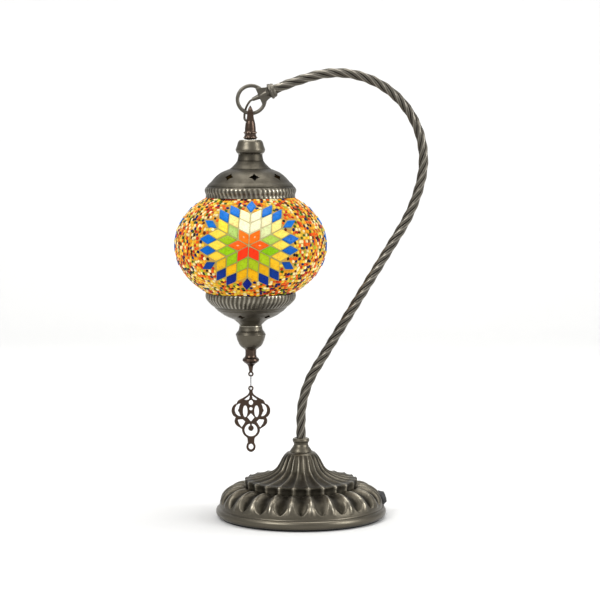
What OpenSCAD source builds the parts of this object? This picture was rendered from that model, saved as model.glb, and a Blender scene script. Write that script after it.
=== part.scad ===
// Mosaic glass table lamp: a fluted cast base, a twisted swan neck that ends in a ring,
// and an oblate mosaic globe that hangs from the ring between two pierced brass caps.
// Millimetres, +Z up. The origin is the middle of the foot, the globe hangs at -X.

/* [Base] */
// Largest radius of the foot rim
base_r = 73.2; // [72:0.1:76]
// Height of the top of the smooth foot rim
rim_top = 9; // [8.6:0.1:9.6]
// Radius of the upper fluted tier
tier_r = 48.4; // [47.6:0.1:49.2]
// Height of the upper tier's edge
tier_top = 33; // [32.4:0.1:33.6]
// Height of the top of the trumpet, where the stem collar stands
trumpet_top = 56.3; // [56:0.1:57]
// Wall of the hollow base casting
base_wall = 1.8; // [1.4:0.1:2]
// Bearing of the cable gland round the base, from +X towards the back
gland_bearing = 12; // [8:1:30]

/* [Neck] */
// Diameter over the strands of the twisted neck
neck_d = 8.4; // [8:0.1:8.8]
// Bore of the neck, which carries the lead
neck_bore = 4.4; // [4:0.1:4.8]
// Height at which the straight stem ends and the neck starts to lean
stem_top = 83.4; // [82:0.1:85]
// Lean of the straight run from the vertical
neck_lean = 31.3; // [30.8:0.1:31.8]
// Length of the straight leaning run
neck_run = 140; // [138:0.5:142]

/* [Arm end] */
// Centreline radius of the ring at the end of the arm
ring_r = 11.65; // [11.5:0.05:11.8]
// Diameter of the ring's wire
ring_wire = 3.2; // [3:0.1:3.4]

/* [Shade] */
// Distance of the globe's axis from the stem's axis
reach = 43; // [42.6:0.1:43.4]
// Height of the middle of the globe
globe_z = 234.3; // [234:0.1:234.6]
// Outer half-width of the mosaic globe
globe_a = 65; // [64.5:0.1:65.5]
// Outer half-height that the mosaic globe would have without its openings
globe_b = 50; // [49.6:0.1:50.4]
// Radius of the two openings in the glass
mouth_r = 37.4; // [37:0.1:37.6]
// Thickness of the glass
glass_t = 2.2; // [1.8:0.1:2.4]
// Wall of the spun brass caps
cap_wall = 1; // [0.8:0.1:1.2]

/* [Mosaic] */
// Number of stars round the globe
stars = 3; // [1:1:3]
// Pitch of the star's rhombic lattice
lattice = 10.5; // [10.2:0.1:10.6]
// Width of the grout joint between tiles
joint_w = 1.1; // [1:0.1:1.4]
// Thickness of the cut glass tiles
tile_t = 1.7; // [1.4:0.1:1.8]

/* [Pendant] */
// Thickness of the filigree pendant
pendant_t = 2.2; // [1.8:0.1:2.6]
// Diameter of the thread that carries the pendant
thread_d = 0.8; // [0.6:0.1:1]

/* [Hidden] */
$fn = 96;
eps = 0.05;

brass = "#6d6650";
bronze = "#5b5244";
copper = "#4c3a31";
steel = "#9a9c9e";

// A point on a circle about c in the plane of an outline.
function polar(c, r, a) = [c[0] + r * cos(a), c[1] + r * sin(a)];

// Points of an arc from angle a to angle b in n steps.
function arc_points(c, rx, rz, a, b, n) =
    [for (i = [0:n]) let (t = a + (b - a) * i / n) [c[0] + rx * cos(t), c[1] + rz * sin(t)]];

// Turned solid from [radius, height] points; the outline closes along the axis.
module turned(outline) {
    bottom = outline[0][1];
    top = outline[len(outline) - 1][1];
    rotate_extrude() polygon(concat([[0, bottom]], outline, [[0, top]]));
}

// Hollow turned wall: one closed outline, up the outside and back down the inside.
module turned_wall(outside, inside) {
    rotate_extrude() polygon(concat(outside, [for (i = [len(inside) - 1:-1:0]) inside[i]]));
}

// Tube with its foot on the XY plane.
module tube(r_out, r_in, h) {
    difference() {
        cylinder(r = r_out, h = h);
        translate([0, 0, -1]) cylinder(r = r_in, h = h + 2);
    }
}

// Moves its children to the globe's axis.
module on_shade_axis(z = 0) {
    translate([-reach, 0, z]) children();
}

// ---------------------------------------------------------------- base

plate_z = 1.5;
plate_t = 1;
inner_rim_r = base_r - 3;
weight_z = plate_z + plate_t;
weight_h = 10;
nipple_r = 5;
nipple_bore_r = 3;
gland_r = 5.2;
gland_flange_r = 6.8;
gland_seat = 1.5;
gland_z = 12.5;
gland_lean = 15;
gland_seat_r = 68.6;

// Crest line of the casting, from the foot edge up to the trumpet's mouth.
base_outline = concat(
    [[base_r - 2.6, 1.2], [base_r - 1, 1.6]],
    arc_points([base_r - 3.4, 5.2], 3.4, 3.8, -55, 75, 8),
    [[base_r - 2.6, rim_top - 0.1]],
    arc_points([base_r - 22, rim_top], 19, 17.4, 8, 100, 10),
    [[tier_r - 0.2, tier_top - 7.8], [tier_r - 0.4, tier_top - 4], [tier_r, tier_top - 0.9],
     [tier_r - 1.2, tier_top], [tier_r - 6, tier_top + 0.8], [36, 34.9], [30, 36.6], [25, 39],
     [21.8, 41.4], [20, 43.8], [18.2, 47], [16.2, 50.8], [13.6, 54.3], [10.8, trumpet_top],
     [nipple_r + eps, trumpet_top]]);

// The casting's inside: the same line drawn in by the wall.
base_inside = concat(
    [[inner_rim_r, 1.2], [inner_rim_r, rim_top - 1.5]],
    arc_points([base_r - 22 - base_wall, rim_top - base_wall], 19, 17.4, 12, 92, 8),
    [[tier_r - base_wall - 1, tier_top - 4], [tier_r - base_wall - 1.4, tier_top - 1 - base_wall],
     [36, 34.9 - base_wall], [29, 36.2 - base_wall], [23.5, 38.6 - base_wall], [19, 42 - base_wall],
     [15.4, 47], [11.6, trumpet_top - 4.4], [nipple_r + eps, trumpet_top - 4.4]]);

// Frame of the cable gland: its axis leaves the lower tier outwards and upwards.
module at_gland() {
    rotate([0, 0, gland_bearing]) translate([gland_seat_r, 0, gland_z])
        rotate([0, 90 - gland_lean, 0]) children();
}

module base_shell() {
    color(brass) difference() {
        turned_wall(base_outline, base_inside);
        at_gland() translate([0, 0, -8]) cylinder(r = gland_r, h = 16);
        at_gland() translate([0, 0, gland_seat]) cylinder(r = gland_flange_r + 0.2, h = 8);
    }
}

screw_r = 2;
screw_head_r = 3.4;
screw_reach = 7;

module base_weight() {
    color("dimgray") translate([0, 0, weight_z]) difference() {
        tube(54, 14, weight_h);
        plate_screw_places() translate([0, 0, -1]) cylinder(r = screw_r + eps, h = screw_reach + 1.5);
    }
}

module base_plate() {
    color(steel) translate([0, 0, plate_z]) difference() {
        cylinder(r = inner_rim_r - 0.2, h = plate_t);
        plate_screw_places() cylinder(r1 = screw_head_r + eps, r2 = screw_r + eps, h = plate_t);
    }
}

module felt_pad() {
    color("black") cylinder(r = inner_rim_r - 1, h = plate_z);
}

// The plate and the weight hang on three screws.
module plate_screw_places() {
    for (a = [30:120:270]) rotate([0, 0, a]) translate([34, 0, 0]) children();
}

module plate_screws() {
    color(steel) plate_screw_places() translate([0, 0, plate_z]) {
        cylinder(r1 = screw_head_r, r2 = screw_r, h = plate_t);
        cylinder(r = screw_r, h = plate_t + screw_reach);
    }
}

module cable_grommet() {
    color("black") at_gland() difference() {
        union() {
            translate([0, 0, -3.5]) cylinder(r = gland_r - 0.1, h = 6);
            translate([0, 0, gland_seat + 0.05]) cylinder(r = gland_flange_r, h = 1.2);
            translate([0, 0, gland_seat + 1.2]) cylinder(r1 = gland_r + 1.2, r2 = gland_r - 0.4, h = 3.4);
        }
        translate([0, 0, -5]) cylinder(r = 3.2, h = 13);
    }
}

module connector_block() {
    color("white") translate([18, 14, weight_z + weight_h]) difference() {
        cube([16, 10, 8]);
        for (y = [3, 7]) translate([-1, y, 4]) rotate([0, 90, 0]) cylinder(r = 1.2, h = 18);
    }
}

// ---------------------------------------------------------------- stem fixing

collar_top = 68.2;
nipple_foot = trumpet_top - 14;
neck_foot = 60;
lead_r = 1;

// Turned collar: a foot bead, a waist and a top flange.
collar_outline = [[9, trumpet_top], [9.4, 57], [8.2, 59], [6.8, 60.9], [6.1, 62.7], [6.4, 64.3],
                  [7.1, 65.2], [7.3, 66.3], [7, 67.6], [6.2, collar_top]];

module stem_collar() {
    color(brass) difference() {
        turned(collar_outline);
        translate([0, 0, trumpet_top - 1]) cylinder(r = nipple_r + eps, h = neck_foot - trumpet_top + 1);
        translate([0, 0, neck_foot - eps]) cylinder(r = neck_d / 2 + eps, h = 10);
    }
}

module stem_nipple() {
    color(steel) translate([0, 0, nipple_foot])
        tube(nipple_r, nipple_bore_r, neck_foot - nipple_foot - 0.1);
}

module stem_washer() {
    color(steel) translate([0, 0, trumpet_top - 5.4]) tube(9, nipple_r + eps, 1);
}

module stem_nut() {
    color(steel) translate([0, 0, trumpet_top - 10.4]) difference() {
        cylinder(r = 8.6, h = 5, $fn = 6);
        translate([0, 0, -1]) cylinder(r = nipple_r + eps, h = 7);
    }
}

// ---------------------------------------------------------------- swan neck

// Runs of the neck from the collar to the arm end: [length, turn]; a turn of 0 is straight,
// any other run is an arc of that radius, and a positive turn bends towards the globe.
arm_heading = 204;
first_bow = 19.7;
main_bow = 115.8;
neck_runs = [[stem_top - neck_foot, 0], [85.6, -neck_lean], [neck_run, 0], [139, first_bow],
             [73.7, main_bow],
             [222, arm_heading - 90 + neck_lean - first_bow - main_bow]];

// State after a run: [x, z, heading].
function run_centre(s, g) = let (k = sign(g[1]))
    [s[0] - k * g[0] * sin(s[2]), s[1] + k * g[0] * cos(s[2])];
function after(s, g) = g[1] == 0
    ? [s[0] + g[0] * cos(s[2]), s[1] + g[0] * sin(s[2]), s[2]]
    : let (c = run_centre(s, g), k = sign(g[1]), h = s[2] + g[1])
      [c[0] + k * g[0] * sin(h), c[1] - k * g[0] * cos(h), h];
function state(i) = i == 0 ? [0, neck_foot, 90] : after(state(i - 1), neck_runs[i - 1]);

// The neck is four strands twisted right-handed into one rope.
strand_r = 2.4;
strand_off = neck_d / 2 - strand_r;
rope_lead = 49.4;

// Stations [x, z, heading, length so far] along one run, every step millimetres or so.
function run_length(g) = g[1] == 0 ? g[0] : g[0] * abs(g[1]) * PI / 180;
function length_to(i) = i == 0 ? 0 : length_to(i - 1) + run_length(neck_runs[i - 1]);
function along(s, g, f) = g[1] == 0 ? after(s, [g[0] * f, 0]) : after(s, [g[0], g[1] * f]);
function stations(i, step) = let (g = neck_runs[i], n = ceil(run_length(g) / step))
    [for (k = [1:n]) concat(along(state(i), g, k / n), length_to(i) + run_length(g) * k / n)];
function neck_line(step) =
    concat([concat(state(0), 0)], [for (i = [0:len(neck_runs) - 1]) each stations(i, step)]);

// Radius of the rope's section at angle a from a strand's crest.
function rope_r(a) = let (q = (a + 405) % 90 - 45)
    strand_off * cos(q) + sqrt(pow(strand_r, 2) - pow(strand_off * sin(q), 2));

// Point at angle a and radius r about a station, square to its heading.
function about(q, a, r) =
    [q[0] + r * cos(a) * sin(q[2]), r * sin(a), q[1] - r * cos(a) * cos(q[2])];

// Triangles of the skin over rings 0 to last of n points each, starting at point b.
function skin(b, last, n, flip) = [for (j = [0:last - 1]) for (k = [0:n - 1])
    let (m = (k + 1) % n, u = b + j * n, v = u + n, s = [[u + k, v + k, u + m], [v + k, v + m, u + m]])
    each [for (t = s) flip ? [t[2], t[1], t[0]] : t]];

// Twisted tube: rope skin of 16 points a ring, round bore of 8, and closed ends.
module swan_neck() {
    crest = 16;
    rings = neck_line(4.2);
    bores = neck_line(9);
    last = len(rings) - 1;
    bore_last = len(bores) - 1;
    inner = crest * (last + 1);
    turn = 360 * length_to(len(neck_runs)) / rope_lead;
    // Rope points that the bore's eight points are joined to at the far end.
    shift = round(turn / 22.5);
    color(bronze) polyhedron(
        points = concat(
            [for (q = rings) for (k = [0:crest - 1])
                about(q, 22.5 * k + 360 * q[3] / rope_lead, rope_r(22.5 * k))],
            [for (q = bores) for (k = [0:7]) about(q, 45 * k, neck_bore / 2)]),
        faces = concat(
            skin(0, last, crest, false),
            skin(inner, bore_last, 8, true),
            [for (k = [0:7]) each end_fan(0, inner, k, 0, false)],
            [for (k = [0:7]) each end_fan(last * crest, inner + bore_last * 8, k, shift, true)]));
}

// Three triangles that join one edge of the bore to two edges of the rope.
function end_fan(rope, bore, k, shift, flip) =
    let (p = [for (i = [0:2]) rope + (2 * k + i - shift + 1600) % 16],
         q = [for (i = [0:1]) bore + (k + i) % 8],
         f = [[p[0], p[1], q[0]], [p[1], q[1], q[0]], [p[1], p[2], q[1]]])
    [for (t = f) flip ? [t[2], t[1], t[0]] : t];

// The lead runs from the connector block up through the nipple and the whole neck.
module neck_lead() {
    way_up = [[20, 17, 16.5], [17, 17, 16.5], [12.5, 14, 18.5], [7.6, 9.4, 22], [3.2, 4.4, 27],
              [0.8, 1, 32.5], [0, 0, 39]];
    tip = horn_end - 0.4;
    line = concat(way_up, [for (q = neck_line(7)) [q[0], 0, q[1]]],
                  [[arm_state[0] + tip * cos(arm_heading), 0, arm_state[1] + tip * sin(arm_heading)]]);
    color("saddlebrown") swept(line, lead_r);
}

// ---------------------------------------------------------------- arm end

arm_state = state(len(neck_runs));
flange_t = 3.2;
horn_end = 19.5;
horn_tip_r = 1.5;

// Frame of the arm end: +Z runs on along the neck's last heading.
module at_arm() {
    translate([arm_state[0], 0, arm_state[1]]) rotate([0, 90 - arm_state[2], 0]) children();
}

ring_x = -reach + 0.8;
ring_z = 357.8;
// Distance from the neck's end to the ring's centre, along the arm end's axis.
ring_along = (ring_x - arm_state[0]) * cos(arm_heading) + (ring_z - arm_state[1]) * sin(arm_heading);
lug_front = ring_along - 7;

// Flat lug that spreads from the flange's neck to the ring's side.
module lug() {
    side = [[flange_t - 1, 4.6], [flange_t + 2.2, 5], [lug_front - 3.4, 6.6], [lug_front, 7.6]];
    other = [for (i = [len(side) - 1:-1:0]) [side[i][0], -side[i][1]]];
    rotate([0, -90, -90]) translate([0, 0, -2.2]) linear_extrude(4.4) polygon(concat(side, other));
}

// Turned core: socket over the neck's end, two beads of the flange, and the horn for the lead.
core_outside = [[5.4, -1.8], [6.1, -0.2], [6.1, 1.2], [6.8, 1.5], [6.8, flange_t], [4.4, flange_t + 0.8],
                [3, flange_t + 3], [horn_tip_r, horn_end]];
core_inside = [[neck_d / 2 + eps, -1.8], [neck_d / 2 + eps, 0], [lead_r + 0.1, 0], [lead_r + 0.1, horn_end]];

module arm_end() {
    color(bronze) {
        difference() {
            union() {
                at_arm() turned_wall(core_outside, core_inside);
                at_arm() lug();
                translate([ring_x, 0, ring_z]) rotate([90, 0, 0])
                    rotate_extrude() translate([ring_r, 0]) circle(d = ring_wire);
            }
            at_arm() cylinder(r = lead_r + 0.1, h = horn_end + 1);
        }
    }
}

// ---------------------------------------------------------------- lead from ring to hanger

swing_z = ring_z - ring_r;
entry_z = 339.5;
// Route of the lead: out of the horn, down behind the ring and into the hanger's side.
lead_route = [[-41.4, 0, 357.7], [-43.4, 0.3, 356.2], [-45.1, 1, 353.8], [-46.5, 2, 351.2], [-47.4, 3, 348.6],
              [-47.9, 3.5, 346.2], [-48.1, 2.6, 343.8], [-48, 1.2, 341.7], [-47.2, 0.2, 340.3],
              [-46, 0, 339.85], [-43.2, 0, 339.6]];

// Unit vectors for sweeping a round section along points.
function unit(v) = v / norm(v);
function tangent(p, i) = unit(p[min(i + 1, len(p) - 1)] - p[max(i - 1, 0)]);
function ring_of(p, i, r, n) = let (t = tangent(p, i), u = unit(cross(t, [0, 1, 0.02])), w = cross(t, u))
    [for (k = [0:n - 1]) p[i] + r * (cos(360 * k / n) * u + sin(360 * k / n) * w)];

// Round lead along a list of points.
module swept(p, r, n = 8) {
    last = len(p) - 1;
    polyhedron(
        points = [for (i = [0:last]) for (q = ring_of(p, i, r, n)) q],
        faces = concat(
            [[for (k = [0:n - 1]) k]],
            [for (i = [0:last - 1]) for (k = [0:n - 1])
                let (m = (k + 1) % n) [i * n + k, (i + 1) * n + k, (i + 1) * n + m, i * n + m]],
            [[for (k = [n - 1:-1:0]) last * n + k]]));
}

module ring_lead() {
    color("saddlebrown") swept(lead_route, lead_r - 0.05);
}

// ---------------------------------------------------------------- hanger

hanger_foot = 324.1;
eye_r = 5.2;
// Front outline of the hanger's head: a pointed arch over the ring's wire.
head_outline = [[3.4, 340], [2.7, 343.5], [2.6, 346.5], [2.1, 348.8], [1.2, 351], [0.15, 352.8]];
hanger_outline = [[4.9, hanger_foot], [5.2, 324.6], [5.6, 325.6], [5.3, 326.9], [4.7, 327.6],
                  [4.9, 328.6], [5.4, 329.4], [5.2, 330.4], [4.7, 331], [4.6, 334], [4.2, 337.4],
                  [3.5, 340.4], [2.7, 343.2]];

module hanger() {
    left = [for (i = [len(head_outline) - 1:-1:0]) [-head_outline[i][0], head_outline[i][1]]];
    color(copper) on_shade_axis() difference() {
        union() {
            turned(hanger_outline);
            intersection() {
                rotate([90, 0, 0]) translate([0, 0, -8]) linear_extrude(16) polygon(concat(head_outline, left));
                translate([-4, 0, 0]) rotate([90, 0, 90]) linear_extrude(8) union() {
                    translate([0, swing_z]) circle(r = eye_r);
                    polygon([[-eye_r, swing_z], [-3.4, 339.8], [3.4, 339.8], [eye_r, swing_z]]);
                    polygon([[-3.9, swing_z + 3.4], [3.9, swing_z + 3.4], [0, 353]]);
                }
            }
        }
        translate([-6, 0, swing_z]) rotate([0, 90, 0]) cylinder(r = ring_wire / 2 + 0.45, h = 12);
        translate([0, 0, hanger_foot - 1]) cylinder(r = 3.05, h = 10.4);
        translate([0, 0, hanger_foot + 1]) cylinder(r = 1.5, h = entry_z - hanger_foot);
        translate([-6, 0, entry_z + 0.4]) rotate([0, 94, 0]) cylinder(r = 1.4, h = 6.5);
    }
}

// ---------------------------------------------------------------- shade fixing

shade_nipple_foot = 292;
holder_top = 299;
cap_top = 311.6;

module shade_nipple() {
    color(steel) on_shade_axis(shade_nipple_foot) tube(3, 1.7, hanger_foot + 9 - shade_nipple_foot);
}

module drop_lead() {
    color("saddlebrown") on_shade_axis(shade_nipple_foot - 3)
        cylinder(r = lead_r, h = entry_z - 1.6 - shade_nipple_foot + 3);
}

// Conical turned nut; the same casting closes the bottom cap upside down.
top_nut_outline = [[10.4, cap_top + 0.1], [11.9, 313.2], [12.6, 315], [12.4, 316.2], [11.5, 318.6],
                   [11, 320.4], [10.5, 322], [9.2, hanger_foot - 0.4]];

module top_nut() {
    color(brass) on_shade_axis() difference() {
        turned(top_nut_outline);
        translate([0, 0, cap_top - 1]) cylinder(r = 3 + eps, h = 20);
    }
}

// Profile of the top cap, from its lower rim to its neck.
rim_r = 38.3;
top_cap_outline = [[rim_r, 275.3], [37.9, 276.2], [37.8, 277.6], [38.7, 280.2], [38.4, 282.6],
                   [36.8, 284.7], [35.4, 286.4], [33.6, 288], [31.9, 290], [29.6, 292.4],
                   [26.8, 294.8], [23.6, 296.7], [20, 298.2], [16.8, 299.8], [14.4, 302],
                   [12.2, 304.4], [11.1, 306.6], [10.4, 309.6], [10.3, cap_top]];
top_cap_inside = [[rim_r - cap_wall, 274], [rim_r - cap_wall - 0.5, 277.6], [37.4, 280.2],
                  [37, 282], [34.6, 284.9], [32.4, 287], [30, 289.6], [27.4, 292], [24.6, 294.2],
                  [20, 296.8], [16.4, 298.4], [13.6, 300.6], [11.2, 303.4], [10.1, 306.2],
                  [9.4, 309.6], [9.3, cap_top - cap_wall]];

// Four-pointed piercing, cut square to a wall that slopes by tilt.
module star_hole(r, z, bearing, tilt, size) {
    rotate([0, 0, bearing - 90]) translate([r, 0, z]) rotate([0, tilt, 0])
        translate([0, 0, -4]) linear_extrude(10)
            polygon([for (k = [0:7]) polar([0, 0], k % 2 == 0 ? size : size * 0.42, k * 45)]);
}

module top_cap() {
    color(brass) on_shade_axis() difference() {
        turned(top_cap_outline);
        turned(top_cap_inside);
        translate([0, 0, cap_top - 3]) cylinder(r = 3 + eps, h = 5);
        for (k = [0:7]) star_hole(29, 292.8, 8 + 45 * k, 40, 3.7);
    }
}

module cap_washer() {
    color(steel) on_shade_axis(cap_top - cap_wall - 1) tube(8, 3 + eps, 1);
}

module cap_nut() {
    color(steel) on_shade_axis(cap_top - cap_wall - 5) difference() {
        cylinder(r = 6, h = 4, $fn = 6);
        translate([0, 0, -1]) cylinder(r = 3 + eps, h = 6);
    }
}

// Three bent spring strips that grip the inside of a glass mouth. up is 1 above the globe, -1 below.
module clips(up) {
    rim_z = globe_z + up * mouth_height;
    for (a = [90:120:330]) rotate([0, 0, a]) translate([0, 0, rim_z]) {
        translate([mouth_r - glass_t - 2.1, -3, up > 0 ? -4 : -3.4]) cube([0.6, 6, 7.4]);
        translate([mouth_r - glass_t - 2.1, -3, up > 0 ? 3 : -3.6]) cube([3.2, 6, 0.6]);
    }
}

module top_clips() {
    color(steel) on_shade_axis() clips(1);
}

module bottom_clips() {
    color(steel) on_shade_axis() clips(-1);
}

// ---------------------------------------------------------------- lamp holder and bulb

holder_foot = 263;
bulb_z = 239;
bulb_r = 22.5;

module lamp_holder() {
    color("black") on_shade_axis() difference() {
        turned([[13.4, holder_foot], [13.4, 265], [12.6, 266], [12.6, 289], [11.4, 292.6],
                [8, 295.4], [5, 297], [5, holder_top]]);
        translate([0, 0, holder_foot - 1]) cylinder(r = 8.2, h = 23);
        translate([0, 0, shade_nipple_foot]) cylinder(r = 3 + eps, h = 10);
        translate([0, 0, holder_foot + 20]) cylinder(r = 2, h = 12);
    }
}

module holder_sleeve() {
    color("gold") on_shade_axis(holder_foot + 1) tube(8.1, 7.1, 20);
}

module bulb_cap() {
    color("silver") on_shade_axis() difference() {
        union() {
            translate([0, 0, holder_foot - 1]) cylinder(r = 7, h = 19);
            translate([0, 0, holder_foot + 18]) cylinder(r1 = 6, r2 = 3, h = 2);
            translate([0, 0, holder_foot + 20]) cylinder(r = 1.9, h = 1.6);
        }
        translate([0, 0, holder_foot - 2]) cylinder(r = 6.2, h = 16);
    }
}

// Outline of the glass envelope: a ball that runs up into the neck.
function bulb_profile(r, neck_r) = concat(
    arc_points([0, bulb_z], r, r, -90, 50, 20),
    [[neck_r + 2.1, holder_foot - 3.8], [neck_r, holder_foot - 1.6], [neck_r, holder_foot + 2]]);

module bulb_glass() {
    color("white", 0.5) on_shade_axis()
        turned_wall(bulb_profile(bulb_r, 6.1), bulb_profile(bulb_r - 0.8, 5.3));
}

module bulb_stem() {
    color("lightgray") on_shade_axis(bulb_z + 4) cylinder(r1 = 1.6, r2 = 4.8, h = holder_foot - bulb_z - 2);
}

module bulb_filaments() {
    color("orange") on_shade_axis(bulb_z - 13)
        for (a = [45:90:315]) rotate([0, 0, a]) translate([8, 0, 0]) cylinder(r = 0.9, h = 28);
}

// ---------------------------------------------------------------- globe

bead_t = 1.7;
grout_t = 0.7;
glass_a = globe_a - bead_t - grout_t;
glass_b = globe_b - bead_t - grout_t;
mouth_angle = acos(mouth_r / globe_a);
mouth_height = globe_b * sin(mouth_angle);

// Ring outline between two ellipses of one family, closed by straight rims.
module ellipse_shell(a_out, b_out, a_in, b_in) {
    steps = 24;
    outer = arc_points([0, globe_z], a_out, b_out, -mouth_angle, mouth_angle, steps);
    inner = arc_points([0, globe_z], a_in, b_in, mouth_angle, -mouth_angle, steps);
    rotate_extrude() polygon(concat(outer, inner));
}

module glass_globe() {
    color("white", 0.4) on_shade_axis()
        ellipse_shell(glass_a, glass_b, glass_a - glass_t, glass_b - glass_t);
}

module grout_layer() {
    color("ivory") on_shade_axis()
        ellipse_shell(glass_a + grout_t, glass_b + grout_t, glass_a, glass_b);
}

// The stars are laid on a lattice of 60-degree rhombi; u runs round the globe, v up it.
star_lon = 0;
star_lat = 4;
lat_pitch = 57.1;
// The star's upright axis leans a little, as laid by hand.
star_shear = 0.045;
seat_a = glass_a + grout_t;
seat_b = glass_b + grout_t;

// Lattice arms and sums of them, in lattice units.
function arm(k) = [cos(60 * k + 30), sin(60 * k + 30)];

// Longitude and parametric latitude of a lattice point.
function lat_of(v) = star_lat + v * lattice / lat_pitch * 180 / PI;
function lon_of(u, v) = star_lon + (u + star_shear * v) * lattice / (globe_a * cos(lat_of(v))) * 180 / PI;

// Point of the seat under the tiles, and the outward normal's rise there.
function seat_point(q) = let (t = lat_of(q[1]), l = lon_of(q[0], q[1]))
    [seat_a * cos(t) * sin(l), -seat_a * cos(t) * cos(l), seat_b * sin(t)];
function seat_rise(q) = let (t = lat_of(q[1])) atan2(sin(t) / seat_b, cos(t) / seat_a);

// Rhombus on lattice corner c spanned by two unit arms, drawn in by the joint.
function rhombus(c, p, s) = let (m = c + (p + s) / 2, f = 1 - joint_w / (lattice * sin(60)))
    [for (q = [c, c + p, c + p + s, c + s]) m + (q - m) * f];

// One flat tile: its corners are projected on the plane that touches the seat at its middle.
module tile(corners) {
    mid = (corners[0] + corners[1] + corners[2] + corners[3]) / 4;
    rise = seat_rise(mid);
    bearing = lon_of(mid[0], mid[1]) - 90;
    origin = seat_point(mid);
    down = [sin(rise) * cos(bearing), sin(rise) * sin(bearing), -cos(rise)];
    east = [-sin(bearing), cos(bearing), 0];
    translate(origin) rotate([0, 90 - rise, bearing]) translate([0, 0, 0.15])
        linear_extrude(tile_t)
            polygon([for (q = corners) let (d = seat_point(q) - origin) [d * down, d * east]]);
}

// Every tile of one ring of every star. Each entry is [corner, first arm, second arm].
module star_tiles(cells) {
    on_shade_axis(globe_z) for (n = [0:stars - 1]) rotate([0, 0, n * 360 / 3])
        for (c = cells) tile(rhombus(c[0], c[1], c[2]));
}

red_cells = [for (k = [0:5]) [[0, 0], arm(k - 1), arm(k)]];
green_cells = [for (k = [0:5]) for (s = [-1, 1]) [arm(k), arm(k), arm(k + s)]];
yellow_cells = concat(
    [for (k = [0:5]) [arm(k - 1) + arm(k), arm(k - 1), arm(k)]],
    [for (k = [0:5]) for (s = [-1, 1]) [2 * arm(k), arm(k), arm(k + s)]]);
// The outer blue ring: pairs beyond the yellow points, and one smaller tile out from each arm's end.
tip_size = 0.86;
blue_cells = concat(
    [for (k = [0:5]) for (s = [-1, 1]) [2 * arm(k) + arm(k + s), arm(k), arm(k + s)]],
    [for (k = [0:5]) [3.08 * arm(k), tip_arm(k, -1), tip_arm(k, 1)]]);
function tip_arm(k, s) = tip_size * [cos(60 * k + 30 + 30 * s), sin(60 * k + 30 + 30 * s)];

module red_tiles() {
    color("orangered") star_tiles(red_cells);
}

module green_tiles() {
    color("yellowgreen") star_tiles(green_cells);
}

module yellow_tiles() {
    color("gold") star_tiles(yellow_cells);
}

module blue_tiles() {
    color("royalblue") star_tiles(blue_cells);
}

// Outline of one star with room round it, as seen square to its middle.
function star_edge(k) = let (a = 60 * k + 30)
    [polar([0, 0], 4.9, a), polar([0, 0], 3.9, a + 13.5), polar([0, 0], 4.62, a + 22.5),
     polar([0, 0], 4.62, a + 37.5), polar([0, 0], 3.9, a + 46.5)];

module star_window() {
    edge = [for (k = [0:5]) for (q = star_edge(k)) seat_point(q)];
    bearing = star_lon - 90;
    east = [-sin(bearing), cos(bearing), 0];
    rotate([0, 90, bearing]) linear_extrude(globe_a + 5)
        polygon([for (q = edge) [-q[2] * 1.03, (q * east) * 1.03]]);
}

// Seed beads pressed into the grout between the stars.
module bead_layer() {
    color("peru") on_shade_axis() difference() {
        ellipse_shell(globe_a, globe_b, seat_a, seat_b);
        for (n = [0:stars - 1]) rotate([0, 0, n * 360 / 3]) translate([0, 0, globe_z]) star_window();
    }
}

// ---------------------------------------------------------------- bottom cap and finial

bottom_cap_outline = [[6, 165.6], [9.6, 165.7], [9.8, 166.4], [11.6, 168.2], [13.2, 169.6],
                      [15, 170.9], [18.6, 172.4], [22.4, 174.2], [25.8, 176.6], [28.8, 178.7],
                      [31.2, 181.2], [33.8, 183.7], [36, 186], [37.8, 188.4], [38.5, 191.4],
                      [38.2, 193.3]];
bottom_cap_inside = [[6, 166.6], [8.8, 166.7], [10.8, 168.8], [12.6, 170.4], [14.6, 171.8],
                     [18.2, 173.4], [21.8, 175.2], [25, 177.4], [28, 179.6], [30.3, 182],
                     [32.8, 184.4], [35, 186.8], [36.7, 189], [37.4, 191.4], [37.2, 194]];

module bottom_cap() {
    color(brass) on_shade_axis() difference() {
        turned(bottom_cap_outline);
        turned(bottom_cap_inside);
        translate([0, 0, 160]) cylinder(r = 2.05, h = 10);
        for (k = [0:5]) star_hole(22.2, 174.6, -20 + 60 * k, 150, 2.9);
    }
}

bottom_nut_outline = [[6, 145.4], [6.6, 145.9], [8.8, 147.6], [10, 149.3], [10.9, 151.2],
                      [11.6, 153], [12, 154.6], [12.5, 156.4], [12.9, 157.8], [11.8, 159.6],
                      [10.4, 161.4], [9.9, 163.4], [9.7, 165.5]];

module bottom_nut() {
    color(brass) on_shade_axis() difference() {
        turned(bottom_nut_outline);
        translate([0, 0, 140]) cylinder(r = 2.05, h = 30);
    }
}

// Screw that holds the finial and the bottom nut on the cap, with its nut inside.
module finial_screw() {
    color(steel) on_shade_axis() {
        translate([0, 0, 139]) cylinder(r = 2, h = 31);
        translate([0, 0, 166.7]) cylinder(r = 4, h = 2.6, $fn = 6);
    }
}

finial_eye_z = 123.4;
eye_ring_r = 1.7;
finial_outline = [[1.4, 125.4], [1.7, 127.4], [2.2, 130.2], [3.8, 132.2], [6, 133.6], [7.3, 135.2],
                  [6.9, 136.8], [5.2, 138.2], [4.7, 139.6], [4.7, 144.2], [5.6, 145.3]];

module finial() {
    color(copper) on_shade_axis() difference() {
        union() {
            turned(finial_outline);
            translate([0, 0, finial_eye_z]) rotate([90, 0, 0])
                rotate_extrude() translate([eye_ring_r, 0]) circle(r = 0.7);
        }
        translate([0, 0, 138.9]) cylinder(r = 2.05, h = 8);
    }
}

// ---------------------------------------------------------------- pendant

eyelet_z = 111.1;
eyelet_r = 1.6;
eyelet_wire = 0.55;

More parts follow.
